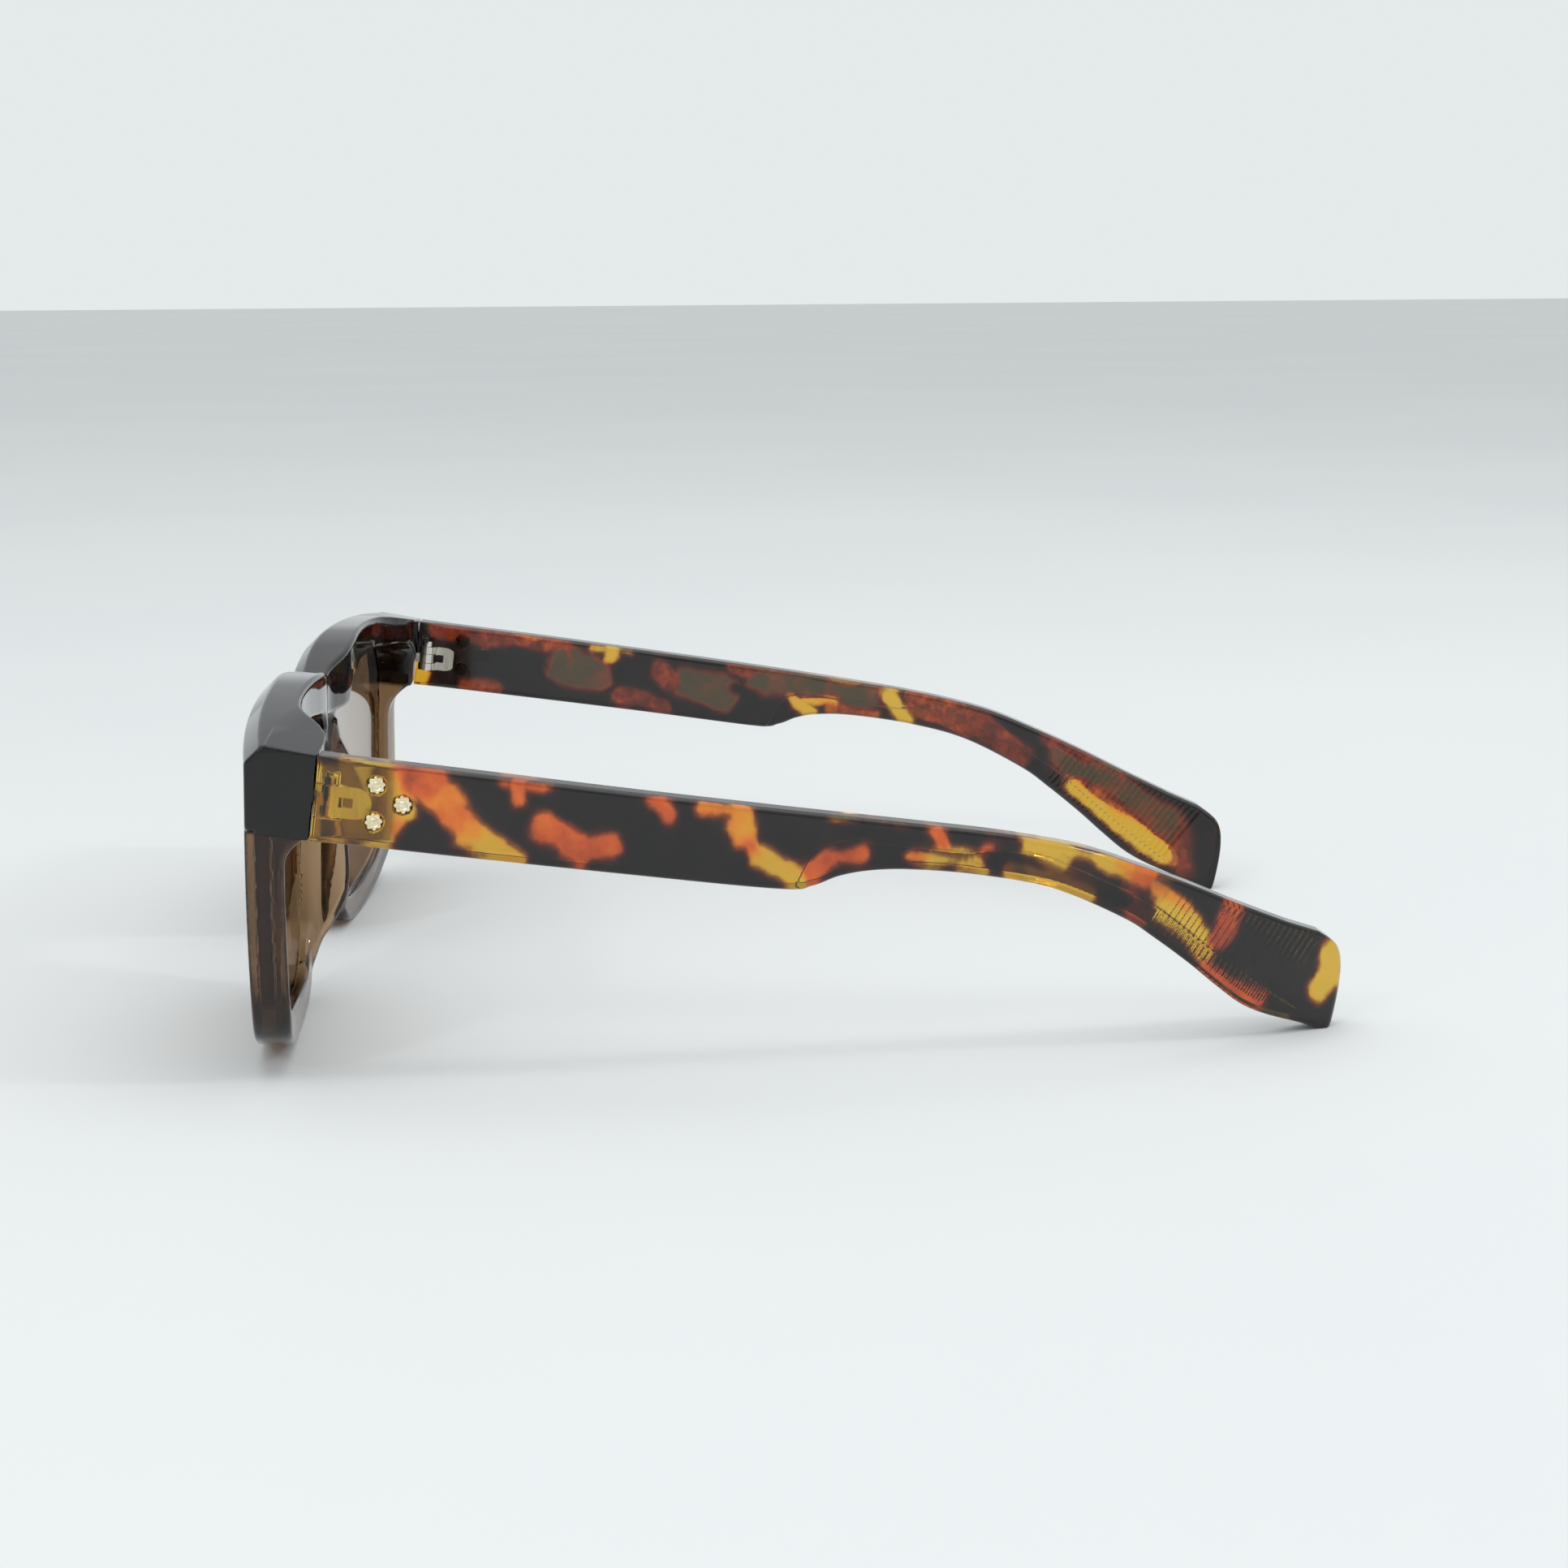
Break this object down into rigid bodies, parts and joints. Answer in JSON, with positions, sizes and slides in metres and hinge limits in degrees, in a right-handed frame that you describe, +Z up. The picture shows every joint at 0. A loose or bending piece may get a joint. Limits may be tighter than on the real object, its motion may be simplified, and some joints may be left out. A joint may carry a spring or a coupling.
{
  "type": "sunglasses",
  "caption": "Folding sunglasses with a thick flat-topped front, moulded nose pads, tinted lenses and tortoiseshell temples on barrel hinges.",
  "frame": {"origin": "middle of the box's bottom, on the table the open pair stands on", "axes": "+X towards the wearer's left, the front faces -Y and the temples run back along +Y, +Z up"},
  "size_m": [0.146, 0.15, 0.0478],
  "materials": {
    "front": "polished translucent smoky brown",
    "lens": "brown tinted, polished",
    "temple": "polished translucent tortoiseshell",
    "hinge": "satin",
    "screw": "polished",
    "stud": "bright"
  },
  "bodies": {
    "front": {"frame_front": "front", "lens_left": "lens", "lens_right": "lens", "front_leaf_left": "hinge", "front_leaf_right": "hinge"},
    "arm_left": {"temple_left": "temple", "temple_leaf_left": "hinge", "hinge_screw_left": "screw", "stud_left_upper": "stud", "stud_left_lower": "stud", "stud_left_rear": "stud"},
    "arm_right": {"temple_right": "temple", "temple_leaf_right": "hinge", "hinge_screw_right": "screw", "stud_right_upper": "stud", "stud_right_lower": "stud", "stud_right_rear": "stud"}
  },
  "joints": [
    {"name": "fold_left", "type": "hinge", "parent": "front", "child": "arm_left", "pos_m": [0.0683, -0.0594, 0.03766], "axis": [0, 0.134, 0.991], "range_deg": [0, 81]},
    {"name": "fold_right", "type": "hinge", "parent": "front", "child": "arm_right", "pos_m": [-0.0683, -0.0594, 0.03766], "axis": [0, -0.134, -0.991], "range_deg": [0, 63]}
  ]
}
